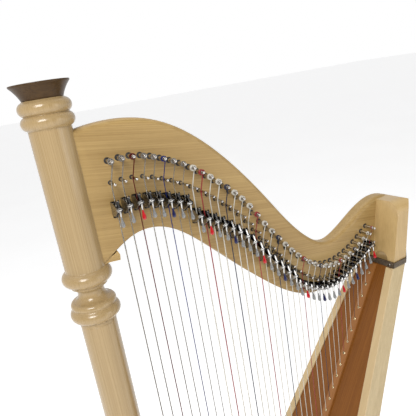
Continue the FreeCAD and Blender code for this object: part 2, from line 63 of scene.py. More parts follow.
TUNING_PIN_RADIUS = 3.2 * MM
TUNING_PIN_LENGTH = 23.9 * MM   # of its round part, from the neck's face
BRIDGE_PIN_RADIUS = 2.2 * MM
BRIDGE_PIN_LENGTH = 28 * MM
FRET_RADIUS = 1.8 * MM
FRET_Y = -3.6 * MM
FRAME_HALF_WIDTH = 4.7 * MM
CHEEK = 0.9 * MM                # thickness of a frame's cheek
CHEEK_NOSE = 3.2 * MM           # radius of a cheek round the axle
PLATE = 1.5 * MM                # thickness of a frame's plate
PLATE_CHAMFER = 1.6 * MM
AXLE_RADIUS = 1.4 * MM
HUB_RADIUS = 2.4 * MM
HUB_HALF_WIDTH = 2.6 * MM
SLEEVE_LENGTH = 15.5 * MM
SLEEVE_RADIUS = 3.3 * MM
SLEEVE_NECK_RADIUS = 1.6 * MM
SCREW_HEAD_HEIGHT = 1.45 * MM
SMOOTH_ANGLE = math.radians(40)

ACROSS = Vector((1, 0, 0))      # along the neck, the way every lever's axle points
OUT = Vector((0, -1, 0))        # out of the neck's face, the way the pins point

# Sizes of the features in the materials
WAVE_LENGTH = 520 * MM          # broad waves of colour along the grain
BAND_LENGTH = 300 * MM          # bands of the grain
PORE_LENGTH = 16 * MM
PORE_WIDTH = 0.42 * MM
PORE_DEPTH = 0.05 * MM
SCRATCH_DEPTH = 0.02 * MM
DUST_DEPTH = 0.03 * MM
PRESSED_LINE = (9 * MM, 9 * MM, 1.4 * MM)
WIRE_LINE = (4 * MM, 4 * MM, 0.5 * MM)
GUT_CLOUD_MM = (2.0, 2.0, 26.0)

# Places in a lever's own upright plane, as (Y, Z) from its pivot, in millimetres. "fret" is the fret's
# height, and "plate" the lower and upper end of the frame's plate.
LONG_LEVER = {"roller": (4.0, 11.5), "roller_radius": 2.8, "tip": (-2.2, -28.0), "fret": -7.0,
              "plate": (-18.0, 8.5)}
SHORT_LEVER = {"roller": (-0.8, 4.4), "roller_radius": 1.8, "tip": (-5.5, -27.0), "fret": 0.0,
               "plate": (-12.5, 5.5)}

CAMERA_PLACE = Vector((-0.407, -0.689, 1.468))
CAMERA_FORWARD = Vector((0.4065, 0.8735, -0.267)).normalized()
CAMERA_RIGHT = Vector((0.875, -0.4565, -0.162))
CAMERA_LENS = 40.2
SENSOR_WIDTH = 36.0
CAMERA_REACH = 200.0
# Area lights: name, place, what it points at, size in metres, power in watts
LIGHTS = (
    ("key", (-1.6, -2.0, 3.0), (0.0, 0.0, 1.2), (1.3, 1.3), 80),
    ("fill", (1.8, -2.2, 1.6), (0.1, 0.0, 1.0), (1.4, 1.8), 14),
    ("top", (0.0, 0.4, 3.4), (0.0, 0.0, 1.0), (2.4, 1.4), 16),
)
FLOOR_HALF = 60.0               # the floor reaches past what the camera sees
FLOOR_GLOW = 0.5
ROOM_FRONT = (0.10, 0.10, 0.105)
ROOM_BACK = (0.72, 0.72, 0.73)
WHITE = (1.0, 1.0, 1.0, 1.0)


# ---- materials ----

class Nodes:
    """A material's node tree, with short calls for the nodes used here."""

    def __init__(self, name):
        self.material = bpy.data.materials.new(name)
        self.material.use_nodes = True
        self.tree = self.material.node_tree
        self.shader = self.tree.nodes["Principled BSDF"]

    def add(self, kind, **values):
        node = self.tree.nodes.new(kind)
        for key, value in values.items():
            setattr(node, key, value)
        return node

    def link(self, source, target):
        self.tree.links.new(source, target)

    def place(self, sizes, turn=(0.0, 0.0, 0.0)):
        """Object coordinates divided by the sizes of a feature, in axes turned by the angles in degrees."""
        coords = self.add("ShaderNodeTexCoord")
        mapping = self.add("ShaderNodeMapping", vector_type="TEXTURE")
        mapping.inputs["Scale"].default_value = sizes
        mapping.inputs["Rotation"].default_value = [math.radians(a) for a in turn]
        self.link(coords.outputs["Object"], mapping.inputs["Vector"])
        return mapping.outputs["Vector"]

    def noise(self, vector, detail=4.0, roughness=0.55, distortion=0.0):
        node = self.add("ShaderNodeTexNoise")
        node.inputs["Scale"].default_value = 1.0
        node.inputs["Detail"].default_value = detail
        node.inputs["Roughness"].default_value = roughness
        node.inputs["Distortion"].default_value = distortion
        self.link(vector, node.inputs["Vector"])
        return node.outputs["Fac"]

    def ramp(self, value, stops):
        """A colour ramp with stops of (position, colour)."""
        node = self.add("ShaderNodeValToRGB")
        elements = node.color_ramp.elements
        while len(elements) < len(stops):
            elements.new(0.5)
        for element, (position, colour) in zip(elements, stops):
            element.position = position
            element.color = (*colour, 1.0)
        self.link(value, node.inputs["Fac"])
        return node.outputs["Color"]

    def span(self, value, low, high, start=0.3, end=0.7):
        """The value's range from start to end spread over low to high."""
        node = self.add("ShaderNodeMapRange")
        node.inputs["From Min"].default_value = start
        node.inputs["From Max"].default_value = end
        node.inputs["To Min"].default_value = low
        node.inputs["To Max"].default_value = high
        self.link(value, node.inputs["Value"])
        return node.outputs["Result"]

    def blend(self, mode, amount, first, second):
        node = self.add("ShaderNodeMix", data_type="RGBA", blend_type=mode)
        if isinstance(amount, float):
            node.inputs["Factor"].default_value = amount
        else:
            self.link(amount, node.inputs["Factor"])
        self.link(first, node.inputs["A"])
        if isinstance(second, tuple):
            node.inputs["B"].default_value = (*second, 1.0)
        else:
            self.link(second, node.inputs["B"])
        return node.outputs["Result"]

    def bump(self, height, distance, strength=1.0):
        node = self.add("ShaderNodeBump")
        node.inputs["Distance"].default_value = distance
        node.inputs["Strength"].default_value = strength
        self.link(height, node.inputs["Height"])
        self.link(node.outputs["Normal"], self.shader.inputs["Normal"])

    def finish(self, **values):
        """Sets constant values on the shader's own sockets, and gives the material."""
        for key, value in values.items():
            self.shader.inputs[key.replace("_", " ")].default_value = value
        return self.material


def wood(name, light, dark, turn, across=9.0, coat=0.35, rough=(0.3, 0.46), streak=0.5, fleck=0.25,
         shine=0.4):
    """Lacquered wood whose grain runs along the X axis turned by the given angles."""
    n = Nodes(name)
    wide = n.noise(n.place((WAVE_LENGTH, across * 2.6 * MM, across * 2.6 * MM), turn), 3.0, 0.5, 0.35)
    bands = n.noise(n.place((BAND_LENGTH, across * 0.42 * MM, across * 0.42 * MM), turn), 5.0, 0.6, 0.25)
    pores = n.noise(n.place((PORE_LENGTH, PORE_WIDTH, PORE_WIDTH), turn), 3.0, 0.65)
    middle = tuple((a + b) / 2 for a, b in zip(light, dark))
    colour = n.ramp(wide, ((0.25, dark), (0.5, middle), (0.72, light)))
    streaks = n.ramp(bands, ((0.3, dark), (0.48, middle), (0.6, light)))
    colour = n.blend("MIX", streak, colour, streaks)
    flecks = n.span(pores, 0.0, fleck, 0.56, 0.74)
    colour = n.blend("MULTIPLY", flecks, colour, tuple(c * 0.62 for c in dark))
    # Painted highlight: convex edges (high pointiness) are mixed towards a lighter copy of the wood colour,
    # standing in for the light that rounded edges catch.
    highlight_pointiness = n.add("ShaderNodeNewGeometry").outputs["Pointiness"]
    edge_highlight = n.span(highlight_pointiness, 0.0, 0.45, 0.53, 0.62)
    colour = n.blend("MIX", edge_highlight, colour, tuple(min(1.0, c * 1.18) for c in light))
    n.link(colour, n.shader.inputs["Base Color"])
    n.link(n.span(bands, rough[0], rough[1]), n.shader.inputs["Roughness"])
    n.bump(pores, PORE_DEPTH, 0.5)
    return n.finish(Coat_Weight=coat, Coat_Roughness=0.12, Specular_IOR_Level=shine)


def metal(name, colour, rough=(0.08, 0.2), grime=0.35, grain=0.6):
    """Plated or polished metal with fine scratches and a little tarnish."""
    n = Nodes(name)
    scratches = n.noise(n.place((grain * MM, grain * 8 * MM, grain * 0.25 * MM), (20, 35, 10)), 4.0)
    stains = n.noise(n.place((5 * MM, 5 * MM, 5 * MM)), 5.0)
    dull = tuple(c * (1 - grime) for c in colour)
    n.link(n.ramp(stains, ((0.32, dull), (0.58, colour))), n.shader.inputs["Base Color"])
    n.link(n.span(scratches, rough[0], rough[1]), n.shader.inputs["Roughness"])
    n.bump(scratches, SCRATCH_DEPTH, 0.35)
    return n.finish(Metallic=1.0)


def ribbed_metal(name, colour, dark, sizes):
    """Metal with fine parallel lines, as pressed strip or wound wire has; sizes are those of a line."""
    n = Nodes(name)
    wave = n.add("ShaderNodeTexWave", wave_type="BANDS", bands_direction="Z", wave_profile="SIN")
    wave.inputs["Scale"].default_value = math.pi / 10
    wave.inputs["Distortion"].default_value = 0.25
    n.link(n.place(sizes), wave.inputs["Vector"])
    stains = n.noise(n.place((7 * MM, 7 * MM, 7 * MM)), 5.0)
    lines = n.ramp(wave.outputs["Fac"], ((0.15, dark), (0.7, colour)))
    shade = n.ramp(stains, ((0.3, (0.55, 0.55, 0.55)), (0.7, (1.0, 1.0, 1.0))))
    n.link(n.blend("MULTIPLY", 1.0, lines, shade), n.shader.inputs["Base Color"])
    n.link(n.span(stains, 0.28, 0.5), n.shader.inputs["Roughness"])
    n.bump(wave.outputs["Fac"], sizes[2] * 0.35, 0.7)
    return n.finish(Metallic=0.9)


def plastic(name, light, dark, rough=(0.12, 0.24), sizes=(3.0, 3.0, 3.0), **values):
    """Moulded plastic, gut, enamel or rubber, a little uneven in colour and gloss."""
    n = Nodes(name)
    cloud = n.noise(n.place([s * MM for s in sizes]), 5.0)
    dust = n.noise(n.place([s * 0.12 * MM for s in sizes]), 3.0)
    n.link(n.ramp(cloud, ((0.3, dark), (0.65, light))), n.shader.inputs["Base Color"])
    n.link(n.span(dust, rough[0], rough[1]), n.shader.inputs["Roughness"])
    n.bump(dust, DUST_DEPTH, 0.4)
    return n.finish(**values)


# Grain directions, as turns of the X axis in degrees
LEVEL = (0.0, 0.0, 0.0)
UPRIGHT = (0.0, -90.0, 0.0)
ALONG_NECK = (0.0, 9.0, 0.0)
ALONG_BOARD = (0.0, BOARD_LEAN_DEG - 90.0, 0.0)

MATERIALS = {
    "base": wood("base_wood", (0.52, 0.37, 0.18), (0.40, 0.26, 0.11), LEVEL, across=12.0),
    "pillar": wood("pillar_maple", (0.42, 0.296, 0.145), (0.34, 0.23, 0.10), UPRIGHT, across=2.4, coat=0.4,
                   rough=(0.22, 0.34), streak=0.5, fleck=0.25),
    # The cap is the pillar's maple painted dark brown: painted shade on its downward-facing flare.
    "cap": wood("cap_wood", (0.085, 0.046, 0.016), (0.036, 0.018, 0.006), LEVEL, across=4.0, coat=0.05,
                rough=(0.26, 0.4), streak=0.6, fleck=0.2, shine=0.18),
    "neck": wood("neck_maple", (0.435, 0.292, 0.111), (0.278, 0.167, 0.052), ALONG_NECK, across=5.0,
                 coat=0.12, rough=(0.32, 0.48), streak=0.55, fleck=0.35),
    "shoulder": wood("shoulder_maple", (0.53, 0.37, 0.165), (0.40, 0.26, 0.10), UPRIGHT, across=5.0,
                     coat=0.35),
    "box": wood("box_maple", (0.52, 0.40, 0.215), (0.41, 0.30, 0.14), ALONG_BOARD, across=6.0, coat=0.4),
    "board": wood("board_wood", (0.25, 0.092, 0.014), (0.145, 0.043, 0.005), ALONG_BOARD, across=4.0,
                  coat=0.03, rough=(0.38, 0.55), streak=0.6, fleck=0.5, shine=0.25),
    "edging": wood("edging_maple", (0.55, 0.41, 0.22), (0.42, 0.29, 0.135), ALONG_BOARD, across=4.0,
                   coat=0.2),
    "rib": wood("rib_wood", (0.30, 0.12, 0.028), (0.19, 0.068, 0.013), ALONG_BOARD, across=4.0, coat=0.05),
    "inner": wood("inner_wood", (0.50, 0.37, 0.21), (0.40, 0.28, 0.15), ALONG_BOARD, across=7.0, coat=0.0,
                  rough=(0.6, 0.8)),
    "chrome": metal("pin_chrome", (0.62, 0.60, 0.57)),
    "arm": metal("lever_chrome", (0.72, 0.71, 0.69), rough=(0.06, 0.16)),
    "steel": metal("frame_steel", (0.40, 0.39, 0.37), rough=(0.2, 0.36), grime=0.4),
    # Near-black steel for the frame plates and far cheeks: painted shade of the gap between and behind the
    # levers.
    "burnished": metal("steel_in_painted_shade", (0.05, 0.048, 0.047), rough=(0.2, 0.4), grime=0.5),
    "screw": metal("screw_steel", (0.36, 0.35, 0.34), rough=(0.15, 0.3)),
    "brass": metal("eyelet_brass", (0.75, 0.62, 0.40), rough=(0.15, 0.3)),
    "band": ribbed_metal("band_metal", (0.31, 0.245, 0.17), (0.06, 0.045, 0.032), PRESSED_LINE),
    "wound": ribbed_metal("wound_wire", (0.46, 0.43, 0.38), (0.16, 0.14, 0.12), WIRE_LINE),
    "wound_red": ribbed_metal("wound_red", (0.22, 0.035, 0.03), (0.07, 0.012, 0.01), WIRE_LINE),
    "wound_blue": ribbed_metal("wound_blue", (0.04, 0.06, 0.30), (0.012, 0.016, 0.10), WIRE_LINE),
    "gut": plastic("string_gut", (0.58, 0.55, 0.48), (0.42, 0.39, 0.32), (0.25, 0.42), GUT_CLOUD_MM),
    "gut_red": plastic("string_red", (0.30, 0.018, 0.02), (0.18, 0.010, 0.012), (0.25, 0.42), GUT_CLOUD_MM),
    "gut_blue": plastic("string_blue", (0.012, 0.014, 0.04), (0.006, 0.007, 0.02), (0.25, 0.42),
                        GUT_CLOUD_MM),
    "black": plastic("lever_black", (0.02, 0.02, 0.021), (0.011, 0.011, 0.012), rough=(0.2, 0.4)),
    # Dark disc at each pin's foot: painted shadow of the hole where the pin enters the neck.
    "pin_foot_shadow": plastic("pin_foot_painted_shadow", (0.03, 0.026, 0.024), (0.014, 0.012, 0.011), rough=(0.35, 0.6)),
    "rubber": plastic("foot_rubber", (0.03, 0.03, 0.03), (0.016, 0.016, 0.016), rough=(0.6, 0.85)),
    "sleeve_clear": plastic("sleeve_clear", (0.36, 0.36, 0.35), (0.22, 0.22, 0.22), rough=(0.06, 0.16),
                            Transmission_Weight=0.35, Coat_Weight=0.4, Coat_Roughness=0.05),
    "sleeve_red": plastic("sleeve_red", (0.52, 0.006, 0.012), (0.36, 0.004, 0.008), rough=(0.06, 0.16),
                          Coat_Weight=0.35, Coat_Roughness=0.05),
    "sleeve_blue": plastic("sleeve_blue", (0.012, 0.014, 0.09), (0.004, 0.005, 0.025), rough=(0.06, 0.16),
                           Coat_Weight=0.35, Coat_Roughness=0.05),
}


# ---- mesh code ----

class Build:
    """Collects the surfaces of one piece, each with its own material."""

    def __init__(self, name):
        self.name = name
        self.points = []
        self.faces = []
        self.kinds = []
        self.slots = []

    def surface(self, points, faces, material):
        if material not in self.slots:
            self.slots.append(material)
        start = len(self.points)
        self.points += [tuple(p) for p in points]
        self.faces += [tuple(i + start for i in face) for face in faces]
        self.kinds += [self.slots.index(material)] * len(faces)

    def rings(self, rings, material):
        """Skins a list of rings that have the same number of points, and closes both ends."""
        count = len(rings[0])
        faces = []
        for r in range(len(rings) - 1):
            for k in range(count):
                j = (k + 1) % count
                faces.append((r * count + k, r * count + j, (r + 1) * count + j, (r + 1) * count + k))
        faces.append(tuple(reversed(range(count))))
        faces.append(tuple((len(rings) - 1) * count + k for k in range(count)))
        self.surface([p for ring in rings for p in ring], faces, material)

    def lathe(self, profile, at, axis, material, sides=24):
        """A turned solid from (radius, along) points; its ends are closed."""
        axis = axis.normalized()
        u = axis.orthogonal().normalized()
        v = axis.cross(u)
        rings = []
        for radius, along in profile:
            middle = at + axis * along
            rings.append([middle + (u * math.cos(a) + v * math.sin(a)) * max(radius, 1e-5)
                          for a in (2 * math.pi * k / sides for k in range(sides))])
        self.rings(rings, material)

    def tube(self, path, radii, material, sides):
        """A round tube along a path, with a radius for each of its points."""
        normal = (path[1] - path[0]).orthogonal().normalized()
        rings = []
        for i, point in enumerate(path):
            ahead = path[min(i + 1, len(path) - 1)] - path[max(i - 1, 0)]
            ahead.normalize()
            normal = (normal - ahead * normal.dot(ahead)).normalized()
            side = ahead.cross(normal)
            rings.append([point + (normal * math.cos(a) + side * math.sin(a)) * radii[i]
                          for a in (2 * math.pi * k / sides for k in range(sides))])
        self.rings(rings, material)

    def prism(self, outline, run, material):
        """A flat plate from its outline, thick along run."""
        self.rings([outline, [p + run for p in outline]], material)

    def object(self, body, replaced, slot, bevel=0.0):
        """Makes the piece: it rides on a body and stands for the CAD node that it replaces."""
        mesh = bpy.data.meshes.new(self.name)
        mesh.from_pydata(self.points, [], self.faces)
        for material in self.slots:
            mesh.materials.append(MATERIALS[material])
        for polygon, kind in zip(mesh.polygons, self.kinds):
            polygon.material_index = kind
            polygon.use_smooth = True
        mesh.set_sharp_from_angle(angle=SMOOTH_ANGLE)
        piece = bpy.data.objects.new(self.name, mesh)
        bpy.context.scene.collection.objects.link(piece)
        if bevel:
            rounding = piece.modifiers.new("rounding", "BEVEL")
            rounding.width = bevel
            rounding.segments = 2
            rounding.limit_method = "ANGLE"
            rounding.angle_limit = SMOOTH_ANGLE
        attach(piece, body)
        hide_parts(replaced)


def islands(node):
    """The separate solids of a CAD node, as lists of points, from the pillar to the soundbox."""
    mesh = NODES[node].data
    keys = {}
    owner = []
    for vertex in mesh.vertices:
        key = tuple(round(c, 6) for c in vertex.co)
        owner.append(keys.setdefault(key, len(keys)))
    parent = list(range(len(keys)))

    def root(i):
        while parent[i] != i:
            parent[i] = parent[parent[i]]
            i = parent[i]
        return i

    for polygon in mesh.polygons:
        first = root(owner[polygon.vertices[0]])
        for corner in polygon.vertices[1:]:
            parent[root(owner[corner])] = first
    groups = {}
    for key, i in keys.items():
        groups.setdefault(root(i), []).append(Vector(key))
    return sorted(groups.values(), key=lambda points: min(p.x for p in points))


def middle_of(points):
    low = Vector([min(p[k] for p in points) for k in range(3)])
    high = Vector([max(p[k] for p in points) for k in range(3)])
    return (low + high) / 2


def colour_of(number):
    """The note's colour: every C is red and every F is blue or black."""
    if number % OCTAVE == FIRST_RED:
        return "red"
    if number % OCTAVE == FIRST_BLUE:
        return "blue"
    return "plain"


EYELETS = [middle_of(p) for p in islands("eyelets")]
BRIDGE_PINS = [middle_of(p) for p in islands("bridge_pins")]
TUNING_PINS = [middle_of(p) for p in islands("tuning_pins")]
STRINGS = islands("strings_wound") + islands("strings_plain")
JOINTS = sorted(frame["record"]["behaviour"]["joints"], key=lambda joint: joint["name"])
PIVOTS = [Vector(joint["pos_m"]) for joint in JOINTS]


# ---- turned pillar ----

def rounded(profile, steps=10):
    """Replaces ("bulge", depth) between two (radius, height) corners by the points of an arc."""
    points = []
    bulge = 0.0
    for item in profile:
        if item[0] == "bulge":
            bulge = item[1]
            continue
        if bulge:
            start, end = Vector(points[-1]), Vector(item)
            run = end - start
            side = Vector((run.y, -run.x)).normalized()
            radius = (run.length ** 2 / 4 + bulge ** 2) / (2 * abs(bulge))
            centre = (start + end) / 2 + side * (bulge - math.copysign(radius, bulge))
            first = start - centre
            turn = 2 * math.asin(min(1.0, run.length / 2 / radius)) * math.copysign(1, bulge)
            for k in range(1, steps):
                a = turn * k / steps
                points.append((centre.x + first.x * math.cos(a) - first.y * math.sin(a),
                               centre.y + first.x * math.sin(a) + first.y * math.cos(a)))
        points.append(tuple(item))
        bulge = 0.0
    return points


def turned_piece(node, material, profile, bevel):
    """A turned piece whose profile is (radius, height above the node's foot) in millimetres."""
    at = Vector((PILLAR.x, PILLAR.y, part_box(node)[0][2]))
    piece = Build("turned_" + node)
    points = [(r * MM, z * MM) for r, z in rounded(profile)]
    piece.lathe(points, at, Vector((0, 0, 1)), material, 128)
    piece.object("harp", node, slot_of(node), bevel)


def slot_of(node):
    return next(s["material_slot"] for s in frame["record"]["subparts"] if s["node"] == node)


CAP_LOW, CAP_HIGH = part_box("pillar_cap")
PILLAR = Vector(((CAP_LOW[0] + CAP_HIGH[0]) / 2, (CAP_LOW[1] + CAP_HIGH[1]) / 2))


def pillar():
    turned_piece("pillar_shaft", "pillar", [
        (0, 0), (30.5, 0), (30.5, 14), ("bulge", 3.5), (31, 30), (31, 33), ("bulge", -1.5), (29, 46),
        (29, 1052), (0, 1052)], 0.6 * MM)
    turned_piece("pillar_head", "pillar", [
        (0, 0), (29.5, 0), (29.5, 6), (35, 9), ("bulge", 5), (35.5, 28), (34.7, 29.5), (35.5, 31),
        ("bulge", 3.5), (29, 41), (24, 45), ("bulge", -2.5), (23, 61), (29, 64), (29, 68), ("bulge", 9.5),
        (31.5, 92), (31.5, 94), (31.5, 313), ("bulge", 6.8), (32.5, 333.5), ("bulge", 6.8), (31, 354),
        (30, 355), (0, 355)], 0.5 * MM)
    turned_piece("pillar_cap", "cap", [
        (0, 0), (29.5, 0), ("bulge", -1.2), (42.5, 20.5), (43, 21.5), (42.6, 23), (0, 23)], 0.5 * MM)


# ---- pins, eyelets and screws ----

def tuning_pins():
    piece = Build("tuning_pin_set")
    r = TUNING_PIN_RADIUS
    for at in TUNING_PINS:
        base = Vector((at.x, NECK_FACE_Y, at.z))
        # Dark disc at the foot: painted shadow round the pin where it enters the neck.
        piece.lathe([(0, 0), (r * 1.55, 0), (r * 1.6, 0.5 * MM), (r * 1.3, 0.9 * MM), (0, 0.9 * MM)],
                    base, OUT, "pin_foot_shadow")
        end = TUNING_PIN_LENGTH
        piece.lathe([(0, 0), (r, 0), (r, end - 1.9 * MM), (r * 0.94, end - 0.5 * MM), (r * 0.8, end),
                     (0, end)], base, OUT, "chrome", 32)
        head = []
        for along, scale in ((23.4, 0.92), (24.2, 1.0), (27.4, 0.98), (28.4, 0.86), (28.9, 0.6)):
            ring = []
            for k in range(32):
                a = 2 * math.pi * k / 32
                square = (abs(math.cos(a)) ** 5 + abs(math.sin(a)) ** 5) ** -0.2
                reach = r * 0.74 * scale * square
                ring.append(base + OUT * along * MM + Vector((math.cos(a), 0, math.sin(a))) * reach)
            head.append(ring)
        piece.rings(head, "chrome")
    piece.object("harp", "tuning_pins", "pin_chrome")


def bridge_pins():
    piece = Build("bridge_pin_set")
    r = BRIDGE_PIN_RADIUS
    for at in BRIDGE_PINS:
        base = Vector((at.x, NECK_FACE_Y, at.z))
        level = NECK_FACE_Y - STRING_LEVEL_Y
        # Dark disc at the foot: painted shadow round the pin where it enters the neck.
        piece.lathe([(0, 0), (r * 1.7, 0), (r * 1.7, 0.4 * MM), (r * 1.35, 0.8 * MM), (0, 0.8 * MM)],
                    base, OUT, "pin_foot_shadow")
        end = BRIDGE_PIN_LENGTH
        piece.lathe([(0, 0), (r, 0), (r, level - 1.5 * MM), (r * 0.7, level - 0.5 * MM), (r * 0.68, level),
                     (r * 0.7, level + 0.5 * MM), (r, level + 1.5 * MM), (r, end - 1.6 * MM),
                     (r * 0.86, end - 0.6 * MM), (r * 0.5, end - 0.1 * MM), (0, end)], base, OUT, "chrome")
    piece.object("harp", "bridge_pins", "pin_chrome")


def eyelets():
    piece = Build("eyelet_set")
    lean = math.radians(BOARD_LEAN_DEG)
    axis = Vector((-math.cos(lean), 0, math.sin(lean)))
    for at in EYELETS:
        foot = at - axis * 0.6 * MM
        piece.lathe([(1.5 * MM, 0), (3.0 * MM, 0), (3.0 * MM, 0.5 * MM), (2.6 * MM, 1.0 * MM),
                     (2.1 * MM, 1.2 * MM), (1.7 * MM, 1.05 * MM), (1.5 * MM, 0.6 * MM), (1.5 * MM, 0)],
                    foot, axis, "brass")
    piece.object("harp", "eyelets", "eyelet_brass")


def screws():
    """Domed heads with a round socket, whose inside is painted black as the shade of its recess."""
    piece = Build("screw_set")
    for points in islands("screws"):
        at = middle_of(points)
        low_x = min(p.x for p in points)
        if max(p.x for p in points) - low_x < max(p.z for p in points) - min(p.z for p in points) - 0.5 * MM:
            base, axis = Vector((max(p.x for p in points), at.y, at.z)), Vector((-1, 0, 0))
        else:
            base, axis = Vector((at.x, max(p.y for p in points), at.z)), OUT
        high = SCREW_HEAD_HEIGHT
        piece.lathe([(0, 0), (2.0 * MM, 0), (1.95 * MM, 0.35 * MM), (1.6 * MM, 0.95 * MM), (1.05 * MM, high),
                     (0.85 * MM, high), (0.8 * MM, high - 0.1 * MM)], base, axis, "screw", 20)
        # The socket's shallow cone is painted black: painted shade of a deep recess.
        piece.lathe([(0.82 * MM, high - 0.1 * MM), (0.78 * MM, high - 0.05 * MM), (0.0, high - 0.35 * MM)],
                    base, axis, "black", 6)
    piece.object("harp", "screws", "screw_steel")


# ---- strings ----

def string_path(number):
    """From the eyelet past the bridge pin and round the tuning pin."""
    points = STRINGS[number - 1]
    foot_z = min(p.z for p in points)
    around = [p for p in points if p.z < foot_z + 2.2 * MM]
    foot = middle_of(around)
    radius = (max(p.y for p in around) - min(p.y for p in around)) / 2
    crook = Vector((foot.x, STRING_LEVEL_Y, BRIDGE_PINS[number - 1].z))
    pin = TUNING_PINS[number - 1]
    reach = TUNING_PIN_RADIUS + radius
    first_y = WINDING_Y + WINDING_TURNS * radius
    path = [foot, foot.lerp(crook, 0.5), crook - (crook - foot).normalized() * 1.2 * MM]
    top = Vector((pin.x + reach, first_y, pin.z))
    path += [crook + (top - crook).normalized() * 1.2 * MM, crook.lerp(top, 0.6)]
    steps = int(WINDING_TURNS * 20)
    for k in range(steps + 1):
        angle = 2 * math.pi * WINDING_TURNS * k / steps
        y = first_y - 2 * radius * WINDING_TURNS * k / steps
        path.append(Vector((pin.x + reach * math.cos(angle), y, pin.z + reach * math.sin(angle))))
    path.append(Vector((pin.x, path[-1].y, pin.z + TUNING_PIN_RADIUS * 0.5)))
    return path, radius


def strings():
    groups = {}
    for number in range(1, len(STRINGS) + 1):
        kind = "wound" if number <= WOUND_COUNT else "gut"
        colour = colour_of(number)
        material = kind if colour == "plain" else kind + "_" + colour
        piece = groups.setdefault(material, Build("strings_" + material))
        path, radius = string_path(number)
        piece.tube(path, [radius] * len(path), material, 10)
    for material, piece in groups.items():
        wound = material.startswith("wound")
        node = "strings_wound" if wound else "strings_plain"
        piece.object("harp", node, "wound_wire" if wound else "string_gut")


# ---- levers ----

def lever_kind(number):
    """The long pattern reaches over 10 mm above its pivot, the short one doesn't."""
    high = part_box("lever_%02d" % number)[1]
    return LONG_LEVER if high[2] - PIVOTS[number - 1].z > 10 * MM else SHORT_LEVER


def beside(pivot, place):
    """A point in the lever's plane, from (Y, Z) millimetres off its pivot."""
    return pivot + Vector((0, place[0] * MM, place[1] * MM))


def lever(number):
    """One lever at rest: axle, hub, curved handle, cam with two discs, and sleeve."""
    pivot = PIVOTS[number - 1]
    kind = lever_kind(number)
    roller = beside(pivot, kind["roller"])
    tip = beside(pivot, kind["tip"])
    along = (tip - pivot).normalized()
    side = Vector((0, along.z, -along.y))
    sleeve_top = tip - along * SLEEVE_LENGTH
    piece = Build("sharping_lever_%02d" % number)
    reach = FRAME_HALF_WIDTH + 0.5 * MM
    r = AXLE_RADIUS
    piece.lathe([(0, 0), (r * 0.7, 0), (r, 0.4 * MM), (r, 2 * reach - 0.4 * MM), (r * 0.7, 2 * reach),
                 (0, 2 * reach)], pivot - ACROSS * reach, ACROSS, "arm", 20)
    hub = HUB_HALF_WIDTH
    r = HUB_RADIUS
    piece.lathe([(0, 0), (r - 0.4 * MM, 0), (r, 0.4 * MM), (r, 2 * hub - 0.4 * MM), (r - 0.4 * MM, 2 * hub),
                 (0, 2 * hub)], pivot - ACROSS * hub, ACROSS, "arm", 28)
    handle = []
    thickness = []
    steps = 14
    start = pivot + along * 1.2 * MM
    for k in range(steps + 1):
        t = k / steps
        sway = math.sin(2 * math.pi * t) * 0.55 * MM
        handle.append(start.lerp(sleeve_top + along * 1.5 * MM, t) + side * sway)
        thickness.append((1.75 - 0.65 * t) * MM)
    piece.tube(handle, thickness, "arm", 14)
    cam_run = (roller - pivot).normalized()
    cam_side = Vector((0, cam_run.z, -cam_run.y))
    outline = [pivot + cam_side * 2.0 * MM, roller + cam_side * 0.95 * MM, roller + cam_run * 0.8 * MM,
               roller - cam_side * 0.95 * MM, pivot - cam_side * 2.0 * MM]
    piece.prism([p - ACROSS * 1.3 * MM for p in outline], ACROSS * 2.6 * MM, "arm")
    size = kind["roller_radius"] * 1.12 * MM
    for low, high in ((-2.7, -1.45), (1.45, 2.7)):
        width = (high - low) * MM
        piece.lathe([(0, 0), (size * 0.82, 0), (size, 0.25 * MM), (size, width - 0.25 * MM),
                     (size * 0.82, width), (0, width)], roller + ACROSS * low * MM, ACROSS, "black", 28)
    piece.lathe([(0, 0), (0.9 * MM, 0), (0.9 * MM, 5.4 * MM), (0, 5.4 * MM)],
                roller - ACROSS * 2.7 * MM, ACROSS, "arm", 16)
    sleeve(piece, sleeve_top, along, number)
    piece.object("lever_%02d" % number, "lever_%02d" % number, "lever_chrome")


def sleeve(piece, top, along, number):
    """The soft drop-shaped cover pushed onto the end of the handle."""
    material = {"red": "sleeve_red", "blue": "sleeve_blue", "plain": "sleeve_clear"}[colour_of(number)]
    length = SLEEVE_LENGTH
    r = SLEEVE_RADIUS
    neck = SLEEVE_NECK_RADIUS
    profile = [(0.9 * MM, 0), (neck - 0.15 * MM, 0), (neck, 0.25 * MM), (neck, 1.0 * MM)]
    steps = 12
    for k in range(steps + 1):
        t = k / steps
        depth = 1.0 * MM + (length - r - 1.0 * MM) * t
        profile.append((1.5 * MM + (r - 1.5 * MM) * (3 * t * t - 2 * t ** 3), depth))
    for k in range(1, 9):
        a = math.pi / 2 * k / 8
        profile.append((r * math.cos(a), length - r + r * math.sin(a)))
    piece.lathe(profile, top, along, material, 28)


